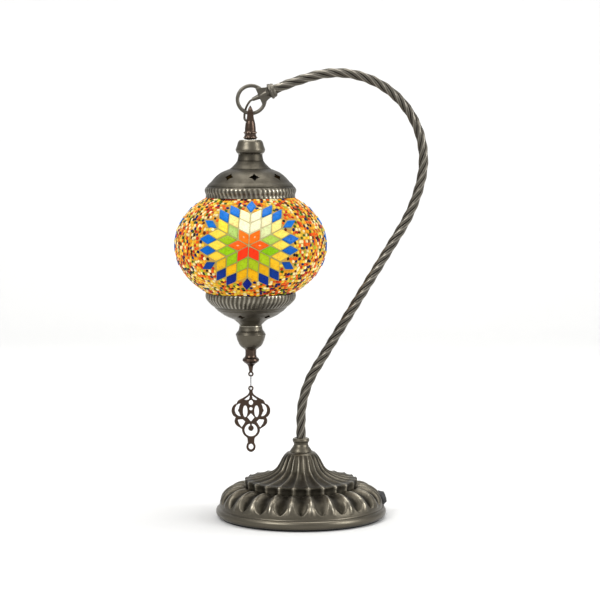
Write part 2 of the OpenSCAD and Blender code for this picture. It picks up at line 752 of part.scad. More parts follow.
// The thread loops through the finial's eye and ends just above the pendant's own loop.
knot_z = eyelet_z + 3.6;
knot_r = 0.55;

module pendant_thread() {
    loop_z = finial_eye_z - eye_ring_r;
    top = loop_z - 1.6;
    foot = knot_z + knot_r + 0.2;
    color("lightslategray") on_shade_axis() union() {
        translate([0, 0, foot]) cylinder(d = thread_d, h = top - foot);
        translate([0, 0, top]) sphere(r = knot_r);
        translate([0, 0, loop_z]) rotate([90, 0, 90]) rotate_extrude() translate([1.2, 0]) circle(d = 0.5);
    }
}

// Knotted loop through the pendant's eyelet; it turns with the pendant.
module pendant_loop() {
    color("lightslategray") on_shade_axis() union() {
        translate([0, 0, knot_z]) sphere(r = knot_r);
        translate([0, 0, eyelet_z + eyelet_r]) rotate([90, 0, 90])
            rotate_extrude() translate([1.75, 0]) circle(d = 0.5);
    }
}

// Flat ring of wire width w, stretched by the factor tall.
module oval(at, r, w, tall = 1) {
    translate(at) difference() {
        scale([1, tall]) circle(r = r + w / 2);
        scale([1, tall]) circle(r = r - w / 2);
    }
}

// Half of the filigree's outline on the +X side, from the eyelet down to the lower stem.
half_outline = concat(
    [[1.5, 110], [1.5, 107.8], [2.4, 106], [4.2, 104.4], [6.4, 103.1], [8.8, 101.9]],
    arc_points([9, 97.4], 3.2, 4, 70, 10, 4),
    arc_points([10.6, 91.8], 6.1, 6.6, 55, -50, 8),
    arc_points([8.8, 82.8], 5.4, 5.2, 40, -60, 6),
    arc_points([0, 75.2], 7.7, 7.3, 5, -58, 6),
    [[3.1, 67.8], [2.9, 64.2]]);

// Openings of the filigree on the +X side.
module right_openings() {
    polygon([[0.9, 105.3], [2.4, 103.8], [5.8, 101.3], [3.6, 100.9], [1.6, 101.7]]);
    difference() {
        union() {
            translate([9.1, 92.4]) scale([1, 1.18]) circle(r = 4.65);
            polygon([[5.9, 98], [8.6, 97.8], [8.4, 94]]);
        }
        translate([6.2, 92.6]) scale([0.62, 1]) circle(r = 6.8);
        translate([9.6, 92]) circle(r = 1.5);
    }
    translate([4.9, 91.2]) scale([0.38, 1]) circle(r = 5.1);
    intersection() {
        polygon([[4.9, 82.2], [7, 84.3], [11.4, 84], [10.2, 80.4], [7.9, 77.4]]);
        translate([8.1, 81.4]) circle(r = 3.9);
    }
}

module middle_openings() {
    translate([0, 98.8]) scale([0.86, 1]) circle(r = 2.1);
    translate([0, 93.4]) circle(r = 1.4);
    polygon([[0, 89.6], [3.1, 86], [0, 82.3], [-3.1, 86]]);
    difference() {
        translate([0, 75]) circle(r = 5.5);
        translate([0, 76.6]) circle(r = 2.4);
        translate([-0.8, 78]) square([1.6, 4]);
    }
}

module pendant() {
    left = [for (i = [len(half_outline) - 1:-1:0]) [-half_outline[i][0], half_outline[i][1]]];
    color(copper) on_shade_axis() rotate([90, 0, 0]) translate([0, 0, -pendant_t / 2])
        linear_extrude(pendant_t) union() {
            difference() {
                polygon(concat(half_outline, left));
                middle_openings();
                right_openings();
                mirror([1, 0]) right_openings();
            }
            oval([0, eyelet_z], eyelet_r + 0.1, 1.3);
            oval([0, 60.6], 3.05, 1.9, 1.16);
        }
}

base_shell();
base_weight();
base_plate();
felt_pad();
plate_screws();
cable_grommet();
connector_block();
stem_nipple();
stem_washer();
stem_nut();
stem_collar();
swan_neck();
neck_lead();
arm_end();
ring_lead();
hanger();
drop_lead();
shade_nipple();
top_nut();
top_cap();
cap_washer();
cap_nut();
top_clips();
lamp_holder();
holder_sleeve();
bulb_cap();
bulb_glass();
bulb_stem();
bulb_filaments();
glass_globe();
grout_layer();
bead_layer();
red_tiles();
green_tiles();
yellow_tiles();
blue_tiles();
bottom_cap();
bottom_clips();
bottom_nut();
finial();
finial_screw();
pendant_thread();
pendant_loop();
pendant();
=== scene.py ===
"""Looks of the mosaic glass table lamp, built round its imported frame. Lengths are millimetres until MM."""
import math
import random

import bpy
import numpy as np
from mathutils import Euler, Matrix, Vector


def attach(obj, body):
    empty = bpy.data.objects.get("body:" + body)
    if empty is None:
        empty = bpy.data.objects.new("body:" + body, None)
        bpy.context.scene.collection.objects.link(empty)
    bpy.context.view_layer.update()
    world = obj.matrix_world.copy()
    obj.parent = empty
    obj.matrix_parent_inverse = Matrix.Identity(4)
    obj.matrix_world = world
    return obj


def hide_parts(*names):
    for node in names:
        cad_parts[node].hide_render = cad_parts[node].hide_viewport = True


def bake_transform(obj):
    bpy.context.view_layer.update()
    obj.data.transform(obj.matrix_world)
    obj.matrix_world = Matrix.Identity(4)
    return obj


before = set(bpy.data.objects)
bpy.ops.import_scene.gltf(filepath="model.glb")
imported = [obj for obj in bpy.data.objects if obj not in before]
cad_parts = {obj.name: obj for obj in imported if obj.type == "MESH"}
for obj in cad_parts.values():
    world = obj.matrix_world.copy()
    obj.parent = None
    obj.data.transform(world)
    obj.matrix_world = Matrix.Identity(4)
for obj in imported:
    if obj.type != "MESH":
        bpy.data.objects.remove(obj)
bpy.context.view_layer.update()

MM = 0.001
TAU = 2 * math.pi
SHADE_X = -43.0
GLOBE_Z = 234.3


# ---------------------------------------------------------------- camera, stage and light

LENS_MM = 125.4
CAMERA_PLACE = (-0.00085, -1.78, 0.3463)
CAMERA_PITCH = 5.11
# Each light's name, place, target, size and power, in metres and watts.
LIGHTS = (
    ("key", (-1.1, -1.3, 1.5), (0, 0, 0.15), (0.8, 0.8), 30),
    ("fill", (1.5, -0.7, 0.8), (0, 0, 0.2), (0.4, 1.2), 22),
    ("top", (0, 0.2, 1.9), (0, 0, 0), (1.4, 1.2), 15),
    ("wash", (0, 0.2, 2.2), (0, 2.2, 1.0), (2.6, 0.8), 60),
)
SKY_STRENGTH = 0.68


def make_camera():
    """A long lens level with the hanger, tipped a little down."""
    data = bpy.data.cameras.new("camera")
    data.lens = LENS_MM
    data.sensor_width = 36
    data.clip_end = 20
    camera = bpy.data.objects.new("camera", data)
    camera.location = CAMERA_PLACE
    camera.rotation_euler = Euler((math.radians(90 - CAMERA_PITCH), 0, 0))
    bpy.context.scene.collection.objects.link(camera)
    bpy.context.scene.camera = camera


def area_light(name, place, target, size, watts):
    data = bpy.data.lights.new(name, "AREA")
    data.shape = "RECTANGLE"
    data.size, data.size_y = size
    data.energy = watts
    light = bpy.data.objects.new(name, data)
    light.location = place
    light.rotation_euler = (Vector(target) - Vector(place)).to_track_quat("-Z", "Y").to_euler()
    bpy.context.scene.collection.objects.link(light)


def build_stage():
    """A pale floor that curves up into a wall behind the lamp, in metres, with its light."""
    front, corner, radius, top, half = -3.2, 1.4, 0.8, 3.4, 3.5
    turns = np.linspace(0, math.pi / 2, 16)
    bend = [(corner + radius * math.sin(t), radius - radius * math.cos(t)) for t in turns]
    side = [(front, 0.0)] + bend + [(corner + radius, top)]
    points = [(x, y, z) for y, z in side for x in (-half, half)]
    mesh = bpy.data.meshes.new("backdrop")
    mesh.from_pydata(points, [], [(2 * i, 2 * i + 1, 2 * i + 3, 2 * i + 2) for i in range(len(side) - 1)])
    mesh.materials.append(backdrop_paint("backdrop_paint"))
    mesh.polygons.foreach_set("use_smooth", [True] * len(mesh.polygons))
    backdrop = bpy.data.objects.new("backdrop", mesh)
    bpy.context.scene.collection.objects.link(backdrop)
    world = bpy.data.worlds.new("studio")
    world.use_nodes = True
    sky = world.node_tree.nodes["Background"].inputs
    sky["Color"].default_value = (1, 1, 1, 1)
    sky["Strength"].default_value = SKY_STRENGTH
    bpy.context.scene.world = world
    for light in LIGHTS:
        area_light(*light)


# ---------------------------------------------------------------- materials

class Shader:
    """A material with one Principled shader and short calls for the nodes that feed it."""

    def __init__(self, name, **constants):
        self.material = bpy.data.materials.new(name)
        self.material.use_nodes = True
        self.tree = self.material.node_tree
        self.principled = self.tree.nodes["Principled BSDF"]
        for key, value in constants.items():
            self.principled.inputs[key.replace("_", " ")].default_value = value
        self.place = self.node("ShaderNodeTexCoord").outputs["Object"]

    def node(self, kind, **settings):
        made = self.tree.nodes.new(kind)
        for key, value in settings.items():
            setattr(made, key, value)
        return made

    def link(self, source, target):
        self.tree.links.new(source, target)

    def noise(self, scale, detail=4, rough=0.6, distortion=0.0):
        made = self.node("ShaderNodeTexNoise")
        self.link(self.place, made.inputs["Vector"])
        made.inputs["Scale"].default_value = scale
        made.inputs["Detail"].default_value = detail
        made.inputs["Roughness"].default_value = rough
        made.inputs["Distortion"].default_value = distortion
        return made.outputs["Fac"]

    def cells(self, scale):
        made = self.node("ShaderNodeTexVoronoi")
        self.link(self.place, made.inputs["Vector"])
        made.inputs["Scale"].default_value = scale
        return made.outputs["Distance"]

    def value_of(self, name):
        """A number stored on the mesh's points, such as how proud a crest stands."""
        return self.node("ShaderNodeAttribute", attribute_name=name).outputs["Fac"]

    def colour_of(self, name):
        return self.node("ShaderNodeAttribute", attribute_name=name).outputs["Color"]

    def ramp(self, source, *stops):
        made = self.node("ShaderNodeValToRGB")
        self.link(source, made.inputs["Fac"])
        line = made.color_ramp.elements
        while len(line) < len(stops):
            line.new(0.5)
        for element, (at, colour) in zip(line, stops):
            element.position = at
            element.color = (*colour, 1)
        return made.outputs["Color"]

    def levels(self, source, low, high, to_low=0.0, to_high=1.0):
        made = self.node("ShaderNodeMapRange")
        self.link(source, made.inputs["Value"])
        for key, value in (("From Min", low), ("From Max", high), ("To Min", to_low), ("To Max", to_high)):
            made.inputs[key].default_value = value
        return made.outputs["Result"]

    def mix(self, factor, a, b, blend="MIX"):
        made = self.node("ShaderNodeMix", data_type="RGBA", blend_type=blend)
        for key, value in ((0, factor), (6, a), (7, b)):
            if isinstance(value, (int, float)):
                made.inputs[key].default_value = value
            elif isinstance(value, tuple):
                made.inputs[key].default_value = (*value, 1)
            else:
                self.link(value, made.inputs[key])
        return made.outputs[2]

    def maths(self, operation, a, b):
        made = self.node("ShaderNodeMath", operation=operation)
        for key, value in ((0, a), (1, b)):
            if isinstance(value, (int, float)):
                made.inputs[key].default_value = value
            else:
                self.link(value, made.inputs[key])
        return made.outputs[0]

    def bump(self, height, strength, distance):
        made = self.node("ShaderNodeBump")
        made.inputs["Strength"].default_value = strength
        made.inputs["Distance"].default_value = distance
        self.link(height, made.inputs["Height"])
        self.link(made.outputs["Normal"], self.principled.inputs["Normal"])

    def feed(self, name, source):
        self.link(source, self.principled.inputs[name])


def aged_and_shaded_metal(name, dark, body, bright, polish):
    """Plated casting: dark in the hollows as patina and painted shade, bright on the crests as rubbed wear
    and painted highlight, mottled between.
    """
    s = Shader(name, Metallic=1.0)
    crest = s.value_of("crest")
    mottle = s.noise(90, 6, 0.65)
    fine = s.noise(900, 5, 0.7)
    height = s.maths("ADD", crest, s.maths("MULTIPLY", s.maths("SUBTRACT", mottle, 0.5), 0.5))
    # The crest value paints shade into the hollows and highlights onto the crests, over the real patina and
    # wear.
    tone = s.ramp(height, (0.0, dark), (0.42, body), (0.68, body), (1.0, bright))
    specks = s.levels(s.noise(2600, 3, 0.7), 0.56, 0.72)
    s.feed("Base Color", s.mix(s.maths("MULTIPLY", specks, 0.35), tone, dark))
    rubbed = s.levels(height, 0, 1, polish + 0.2, polish - 0.06)
    s.feed("Roughness", s.maths("ADD", rubbed, s.levels(fine, 0.3, 0.7, -0.05, 0.07)))
    relief = s.maths("ADD", s.maths("MULTIPLY", mottle, 0.7), s.maths("MULTIPLY", fine, 0.3))
    s.bump(relief, 0.16, 0.0006)
    return s.material


def plain_metal(name, colour, rough):
    """Zinc plated or spun fitting with fine handling marks."""
    s = Shader(name, Metallic=1.0)
    mottle = s.noise(300, 5)
    s.feed("Base Color", s.mix(s.levels(mottle, 0.35, 0.7), tuple(c * 0.75 for c in colour), colour))
    s.feed("Roughness", s.levels(mottle, 0.3, 0.7, rough - 0.08, rough + 0.12))
    s.bump(s.noise(1800, 3), 0.1, 0.0003)
    return s.material


def plastic(name, colour, rough, grain=1500):
    s = Shader(name, Roughness=rough)
    s.feed("Base Color", s.mix(s.noise(200, 4), tuple(c * 0.8 for c in colour), colour))
    s.bump(s.noise(grain, 3), 0.15, 0.0003)
    return s.material


def felt(name, colour):
    s = Shader(name, Roughness=0.95)
    s.feed("Base Color", s.mix(s.noise(1500, 6, 0.8), tuple(c * 0.5 for c in colour), colour))
    s.bump(s.noise(3000, 6, 0.8), 0.8, 0.0006)
    return s.material


def lit_glass(name, wisp):
    """Coloured glass with the lamp behind it: the piece's own colour, clouded by wisps and seeds."""
    s = Shader(name, Roughness=0.25, Specular_IOR_Level=0.07, Coat_Weight=0.02, Coat_Roughness=0.06)
    tint = s.colour_of("tint")
    wisps = s.levels(s.noise(wisp, 5, 0.62, 1.4), 0.28, 0.72)
    seeds = s.levels(s.cells(wisp * 2.4), 0.05, 0.45)
    cloud = s.maths("ADD", s.maths("MULTIPLY", wisps, 0.65), s.maths("MULTIPLY", seeds, 0.35))
    shade = s.mix(s.levels(cloud, 0.1, 0.75), s.mix(1.0, tint, (0.72, 0.55, 0.5), "MULTIPLY"), tint)
    s.feed("Base Color", s.mix(1.0, shade, (0.06, 0.06, 0.06), "MULTIPLY"))
    s.feed("Emission Color", shade)
    s.feed("Emission Strength", s.value_of("glow"))
    s.bump(s.maths("ADD", s.noise(wisp * 1.6, 4, 0.6, 0.8), s.maths("MULTIPLY", seeds, 0.4)), 0.5, 0.0007)
    return s.material


def grout(name):
    """Cream plaster between the pieces, lit through, with gritty pores."""
    s = Shader(name, Roughness=0.85)
    tint = s.colour_of("tint")
    grit = s.noise(1400, 6, 0.75)
    shade = s.mix(s.levels(grit, 0.3, 0.65), s.mix(1.0, tint, (0.5, 0.44, 0.36), "MULTIPLY"), tint)
    s.feed("Base Color", s.mix(1.0, shade, (0.15, 0.15, 0.15), "MULTIPLY"))
    s.feed("Emission Color", shade)
    s.feed("Emission Strength", s.value_of("glow"))
    s.bump(grit, 0.6, 0.0005)
    return s.material


def clear_glass(name):
    s = Shader(name, Roughness=0.05, IOR=1.5, Transmission_Weight=1.0)
    s.feed("Base Color", s.mix(s.noise(60, 3), (0.95, 0.97, 0.93), (0.99, 0.99, 0.97)))
    s.bump(s.noise(120, 2), 0.05, 0.0005)
    return s.material


def glowing(name, colour, strength):
    s = Shader(name, Roughness=0.4, Emission_Strength=strength)
    warm = s.mix(s.noise(900, 3), tuple(c * 0.8 for c in colour), colour)
    s.feed("Base Color", warm)
    s.feed("Emission Color", warm)
    return s.material


def backdrop_paint(name):
    s = Shader(name, Roughness=0.9)
    s.feed("Base Color", s.mix(s.noise(3, 2), (0.53, 0.53, 0.525), (0.55, 0.55, 0.546)))
    return s.material


BRASS = aged_and_shaded_metal("antique_brass", (0.015, 0.013, 0.009), (0.112, 0.1, 0.077), (0.4, 0.37, 0.3), 0.32)
ROPE = aged_and_shaded_metal("neck_bronze", (0.016, 0.014, 0.012), (0.112, 0.102, 0.084), (0.32, 0.295, 0.25), 0.36)
COPPER = aged_and_shaded_metal("copper_brown", (0.012, 0.007, 0.005), (0.07, 0.048, 0.036), (0.3, 0.23, 0.18), 0.26)
ZINC = plain_metal("steel", (0.62, 0.62, 0.61), 0.3)
IRON = plain_metal("cast_iron", (0.12, 0.12, 0.12), 0.55)
CONTACT = plain_metal("contact_brass", (0.75, 0.58, 0.28), 0.25)
SPUN = plain_metal("bulb_metal", (0.75, 0.75, 0.74), 0.25)
FELT = felt("felt", (0.03, 0.03, 0.034))
BLACK = plastic("black_plastic", (0.008, 0.008, 0.008), 0.6)
PORCELAIN = plastic("porcelain", (0.85, 0.84, 0.8), 0.15)
LEAD = plastic("lead_cover", (0.05, 0.037, 0.022), 0.45)
THREAD = plastic("thread", (0.05, 0.05, 0.055), 0.8, 4000)
TILE = lit_glass("tile_glass", 260)
BEAD = lit_glass("bead_glass", 420)
GROUT = grout("grout")
CLEAR = clear_glass("clear_glass")
FILAMENT = glowing("led_filament", (1.0, 0.72, 0.36), 8.0)


# ---------------------------------------------------------------- mesh helpers

def piece(name, points, faces, body, slot, material, replaces=(), **values):
    """A mesh from millimetre points that rides on a body, if one is given.

    values are numbers or colours per point, stored for the material to read.
    """
    mesh = bpy.data.meshes.new(name)
    mesh.from_pydata((np.asarray(points, float) * MM).tolist(), [], [list(f) for f in faces])
    mesh.materials.append(material)
    mesh.polygons.foreach_set("use_smooth", [True] * len(mesh.polygons))
    for key, numbers in values.items():
        numbers = np.asarray(numbers, float)
        if numbers.ndim == 2:
            store = mesh.attributes.new(key, "FLOAT_COLOR", "POINT")
            rgba = np.ones((len(numbers), 4))
            rgba[:, :3] = numbers
            store.data.foreach_set("color", rgba.ravel())
        else:
            store = mesh.attributes.new(key, "FLOAT", "POINT")
            store.data.foreach_set("value", numbers.ravel())
    mesh.update()
    made = bpy.data.objects.new(name, mesh)
    bpy.context.scene.collection.objects.link(made)
    if body:
        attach(made, body)
    if replaces:
        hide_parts(*replaces)
    return made


def grid(rows, columns):
    """Quads over closed rings of points stored row by row."""
    faces = []
    for j in range(rows - 1):
        for k in range(columns):
            m = (k + 1) % columns
            faces.append((j * columns + k, j * columns + m, (j + 1) * columns + m, (j + 1) * columns + k))
    return faces


def shifted(faces, start):
    """The same faces for points that are stored from start on."""
    return [tuple(start + i for i in face) for face in faces]


def flowing(points, per):
    """The points joined by a Catmull-Rom curve with per steps to a span."""
    p = np.asarray(points, float)
    p = np.vstack([2 * p[0] - p[1], p, 2 * p[-1] - p[-2]])
    out = []
    for i in range(1, len(p) - 2):
        for t in np.arange(per) / per:
            out.append(0.5 * (2 * p[i] + (p[i + 1] - p[i - 1]) * t
                              + (2 * p[i - 1] - 5 * p[i] + 4 * p[i + 1] - p[i + 2]) * t ** 2
                              + (3 * p[i] - p[i - 1] - 3 * p[i + 1] + p[i + 2]) * t ** 3))
    out.append(p[-2])
    return np.array(out)


def normals_of(profile):
    """Outward normals of an upward profile of [radius, height] points."""
    along = np.gradient(profile, axis=0)
    along /= np.linalg.norm(along, axis=1, keepdims=True) + 1e-9
    return np.column_stack([along[:, 1], -along[:, 0]])


def revolve(profile, columns, at_x, shift=None):
    """Points of a turned surface; shift(row, bearing) moves each point along the profile's normal."""
    bearing = np.arange(columns) * TAU / columns
    rows = np.arange(len(profile))
    r = np.repeat(profile[:, :1], columns, 1)
    z = np.repeat(profile[:, 1:], columns, 1)
    if shift is not None:
        n = normals_of(profile)
        d = shift(rows[:, None], bearing[None, :])
        r = r + d * n[:, :1]
        z = z + d * n[:, 1:]
    return np.stack([at_x + r * np.cos(bearing), r * np.sin(bearing), z], -1).reshape(-1, 3)


def outer_profile(node, axis_x, least):
    """Widest radius, over least, of a turned CAD node at each of its heights, from its own vertices."""
    spots = {}
    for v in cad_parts[node].data.vertices:
        r = math.hypot(v.co.x / MM - axis_x, v.co.y / MM)
        z = round(v.co.z / MM, 2)
        if r > least:
            spots[z] = max(spots.get(z, 0.0), r)
    return np.array([[spots[z], z] for z in sorted(spots)])


def crest_of(profile):
    """How proud each row stands of its neighbours: 1 on beads, 0 in grooves."""
    r = profile[:, 0]
    reach = 9
    width = 2 * reach + 1
    mean = np.convolve(np.pad(r, reach, mode="edge"), np.ones(width) / width, "same")[reach:-reach]
    return np.clip(0.5 + (r - mean) * 0.55, 0, 1)


def turned_like(name, node, axis_x, body, least):
    """A smooth turned piece of brass that stands for a CAD node of the same outline."""
    columns = 96
    profile = flowing(outer_profile(node, axis_x, least), 7)
    ends = [[[0.55 * profile[i, 0], profile[i, 1] + inward]] for i, inward in ((0, 0.05), (-1, -0.05))]
    profile = np.vstack([ends[0], profile, ends[1]])
    # Beads get a high crest and grooves a low one: painted highlight and painted shade in the brass.
    crest = np.repeat(crest_of(profile), columns)
    piece(name, revolve(profile, columns, axis_x), grid(len(profile), columns), body, "antique_brass", BRASS,
          (node,), crest=crest)


def softened(name, node, body, material, voxel, passes):
    """A casting from a CAD node: its sharp edges are rounded by a fine remesh and smoothing."""
    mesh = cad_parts[node].data.copy()
    mesh.name = name
    mesh.materials.clear()
    mesh.materials.append(material)
    made = bpy.data.objects.new(name, mesh)
    bpy.context.scene.collection.objects.link(made)
    remesh = made.modifiers.new("remesh", "REMESH")
    remesh.mode = "VOXEL"
    remesh.voxel_size = voxel * MM
    smooth = made.modifiers.new("smooth", "SMOOTH")
    smooth.factor = 0.5
    smooth.iterations = passes
    bake(made)
    mesh = made.data
    mesh.polygons.foreach_set("use_smooth", [True] * len(mesh.polygons))
    # Convex spots get a high crest and hollows a low one: painted highlight and painted shade in the metal.
    store = mesh.attributes.new("crest", "FLOAT", "POINT")
    store.data.foreach_set("value", convexity(mesh))
    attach(made, body)
    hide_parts(node)


def bake(made):
    """Applies every modifier of an object to its mesh."""
    graph = bpy.context.evaluated_depsgraph_get()
    mesh = bpy.data.meshes.new_from_object(made.evaluated_get(graph))
    made.modifiers.clear()
    old, made.data = made.data, mesh
    mesh.name = old.name
    bpy.data.meshes.remove(old)


def convexity(mesh):
    """A number per point: above a half where the surface is convex, below where it is hollow."""
    count = len(mesh.vertices)
    co = np.empty(count * 3)
    no = np.empty(count * 3)
    mesh.vertices.foreach_get("co", co)
    mesh.vertices.foreach_get("normal", no)
    co, no = co.reshape(-1, 3), no.reshape(-1, 3)
    ends = np.empty(len(mesh.edges) * 2, int)
    mesh.edges.foreach_get("vertices", ends)
    a, b = ends.reshape(-1, 2).T
    total, weight = np.zeros((count, 3)), np.zeros(count)
    np.add.at(total, a, co[b])
    np.add.at(total, b, co[a])
    np.add.at(weight, a, 1)
    np.add.at(weight, b, 1)
    mean = total / np.maximum(weight, 1)[:, None]
    bend = np.einsum("ij,ij->i", co - mean, no) / MM
    for _ in range(3):
        spread = np.zeros(count)
        np.add.at(spread, a, bend[b])
        np.add.at(spread, b, bend[a])
        bend = 0.5 * bend + 0.5 * spread / np.maximum(weight, 1)
    return np.clip(0.5 + bend * 14, 0, 1)


def sweep(path, radius, sides):
    """Points of a round tube along a path of millimetre points."""
    along = np.gradient(path, axis=0)
    along /= np.linalg.norm(along, axis=1, keepdims=True)
    # Nearly the Y axis: a direction that no stretch of the path runs in.
    side = np.cross(along, [0.02, 1.0, 0.03])
    side /= np.linalg.norm(side, axis=1, keepdims=True)
    up = np.cross(along, side)
    angle = np.arange(sides) * TAU / sides
    ring = np.cos(angle)[None, :, None] * side[:, None] + np.sin(angle)[None, :, None] * up[:, None]
    return (path[:, None] + radius * ring).reshape(-1, 3)


# ---------------------------------------------------------------- base

CELLS = 24
RIM_R = 73.2
TIER_R = 48.4
TIER_TOP = 33.0
TRUMPET_TOP = 56.3
# Heights on a petal, from 0 at its foot to 1 at its top: where its hollow begins, and where it is widest.
HOLLOW_FOOT = 0.1
HOLLOW_WIDEST = 0.44
# Half of a hollow's greatest width, as a part of its cell.
HOLLOW_HALF = 0.35
# The cable inlet in the rim: its bearing, its seat's radius and height, and how far it leans up.
INLET_BEARING, INLET_LEAN = math.radians(12), math.radians(15)
INLET_SEAT = (68.6, 12.5)
INLET_R, FLANGE_R, INLET_REACH = 5.0, 6.85, 12


def base_sections():
    """The base's profile from its foot to the trumpet's mouth.

    Gives its points, each one's height on a petal or -1, its flute depth, and the row after the tier's wall.
    """
    rim_turn = np.radians(np.linspace(-70, 88, 22))
    rim = np.column_stack([RIM_R - 3.4 + 3.4 * np.cos(rim_turn), 5.2 + 3.8 * np.sin(rim_turn)])
    rim = np.vstack([[RIM_R - 4, 1.25], rim])
    turn = np.radians(np.linspace(4, 100, 76))
    lower = np.column_stack([RIM_R - 22 + 19 * np.cos(turn), 9 + 17.4 * np.sin(turn)])
    wall = flowing([[TIER_R - 0.9, TIER_TOP - 8.3], [TIER_R - 0.5, TIER_TOP - 6],
                    [TIER_R - 0.4, TIER_TOP - 4], [TIER_R, TIER_TOP - 1.2], [TIER_R - 1, TIER_TOP - 0.1]], 7)
    top = flowing([[TIER_R - 1.8, TIER_TOP + 0.1], [42.4, TIER_TOP + 0.8], [36, 34.9], [30, 36.6], [25, 39],
                   [21.8, 41.4], [20, 43.8], [18.2, 47], [16.2, 50.8], [13.6, 54.3], [10.8, TRUMPET_TOP],
                   [5.4, TRUMPET_TOP]], 9)
    parts = [rim, lower, wall, top]
    profile = np.vstack(parts)
    starts = np.cumsum([0] + [len(p) for p in parts])
    petal = np.full(len(profile), -1.0)
    petal[starts[1]:starts[2]] = np.linspace(0, 1, len(lower))
    flute = np.zeros(len(profile))
    wall_rows = slice(starts[2], starts[3])
    rise = np.linspace(0, 1, len(wall))
    flute[wall_rows] = 1.7 * np.sin(np.pi * np.clip(0.12 + 0.86 * rise, 0, 1)) ** 0.5
    top_rows = slice(starts[3], starts[4])
    r, z = profile[top_rows].T
    fade = np.clip((TRUMPET_TOP - 1.5 - z) / 5, 0, 1)
    flute[top_rows] = 0.046 * r * fade * np.clip((z - TIER_TOP) / 1.2, 0.35, 1)
    return profile, petal, flute, starts[3]


def petal_relief(p, q, u):
    """Shift and crest of the lower petals: hollows with a rounded foot between broad raised ribs."""
    foot = np.sqrt(np.clip(1 - ((HOLLOW_WIDEST - u) / (HOLLOW_WIDEST - HOLLOW_FOOT)) ** 2, 0, 1))
    width = np.where(u < HOLLOW_WIDEST, HOLLOW_HALF * foot, HOLLOW_HALF - 0.09 * (u - HOLLOW_WIDEST))
    inside = np.clip(1 - (p / np.maximum(width, 1e-3)) ** 2, 0, 1) * (u > HOLLOW_FOOT)
    fade_in = np.clip((u - 0.06) / 0.2, 0, 1) ** 0.5 * np.clip((1.04 - u) / 0.16, 0, 1)
    rib = np.exp(-(q / 0.115) ** 2) * fade_in
    lip = np.exp(-((p - width) / 0.035) ** 2) * (u > HOLLOW_FOOT) * (u < 0.5)
    hollow = inside ** 0.8 * np.clip((1.02 - u) / 0.2, 0, 1) ** 0.5
    # The crest paints highlights on the ribs and lips and shade in the hollows.
    return 1.15 * rib + 0.3 * lip - 2.2 * hollow, 0.36 + 0.5 * rib + 0.35 * lip - 0.34 * inside


def base_relief(row, bearing, petal, flute, wall_end):
    """Shift along the normal and crest value of the base's petals, tier and flutes."""
    cell = (bearing + TAU / 4) * CELLS / TAU
    # How far a point is from the middle of its cell and from its cell's edge, as parts of the cell.
    p = np.abs((cell + 0.5) % 1.0 - 0.5)
    q = 0.5 - p
    on_petal = petal[row] >= 0
    lower, petal_crest = petal_relief(p, q, petal[row])
    fluted = flute[row] > 0.02
    wall = fluted & (row < wall_end)
    scoop = np.where(wall, 1 - np.clip(p / 0.36, 0, 1) ** 2, 1 - (2 * p) ** 2)
    post = np.where(wall, np.exp(-(q / 0.1) ** 2), 0)
    d = np.where(on_petal, lower, 0) - flute[row] * scoop + 0.5 * post
    # The crest paints highlights on the ribs and posts and shade in the flutes and hollows.
    crest = np.where(on_petal, petal_crest, 0.62)
    crest = np.where(fluted, 0.12 + 0.8 * np.clip(2 * p, 0, 1) ** 6, crest)
    crest = np.where(wall, 0.1 + 0.8 * post, crest)
    return d, np.clip(crest, 0, 1)


def build_base():
    """The cast base, with a hole in its rim for the cable inlet."""
    profile, petal, flute, wall_end = base_sections()
    columns = CELLS * 22
    store = {}

    def shift(row, bearing):
        d, crest = base_relief(row, bearing, petal, flute, wall_end)
        store["crest"] = np.broadcast_to(crest, (len(profile), columns)).ravel()
        return np.broadcast_to(d, (len(profile), columns))

    points = revolve(profile, columns, 0, shift)
    flat, rise = math.cos(INLET_LEAN), math.sin(INLET_LEAN)
    east, north = math.cos(INLET_BEARING), math.sin(INLET_BEARING)
    radius, height = INLET_SEAT
    axis = np.array([flat * east, flat * north, rise])
    off = points - np.array([radius * east, radius * north, height])
    along = off @ axis
    away = np.linalg.norm(off - along[:, None] * axis, axis=1)
    bored = (away < INLET_R) & (np.abs(along) < INLET_REACH)
    flange = (away < FLANGE_R) & (along > 1.4) & (along < INLET_REACH)
    open_at = bored | flange
    faces = [f for f in grid(len(profile), columns) if not all(open_at[i] for i in f)]
    piece("base_casting", points, faces, "stand", "antique_brass", BRASS, ("base_shell",),
          crest=store["crest"])


# ---------------------------------------------------------------- swan neck

NECK_FOOT = 60.0
# Runs of the centre line: a length with no turn, or a radius with its turn in degrees.
NECK_RUNS = ((23.4, 0), (85.6, -31.3), (140, 0), (139, 19.7), (73.7, 115.8), (222, 9.8))
ROPE_LEAD = 49.4
STRAND_R = 2.4
STRAND_OFF = 1.8


def neck_line(step):
    """Points of the neck's centre line with its heading and the length so far."""
    x, z, heading, length = 0.0, NECK_FOOT, 90.0, 0.0
    line = [(x, z, heading, length)]
    for size, turn in NECK_RUNS:
        run = size if turn == 0 else size * math.radians(abs(turn))
        count = math.ceil(run / step)
        for _ in range(count):
            part = turn / count
            middle = math.radians(heading + part / 2)
            chord = run / count if turn == 0 else 2 * size * math.sin(math.radians(abs(part)) / 2)
            x += chord * math.cos(middle)
            z += chord * math.sin(middle)
            heading += part
            length += run / count
            line.append((x, z, heading, length))
    return np.array(line)


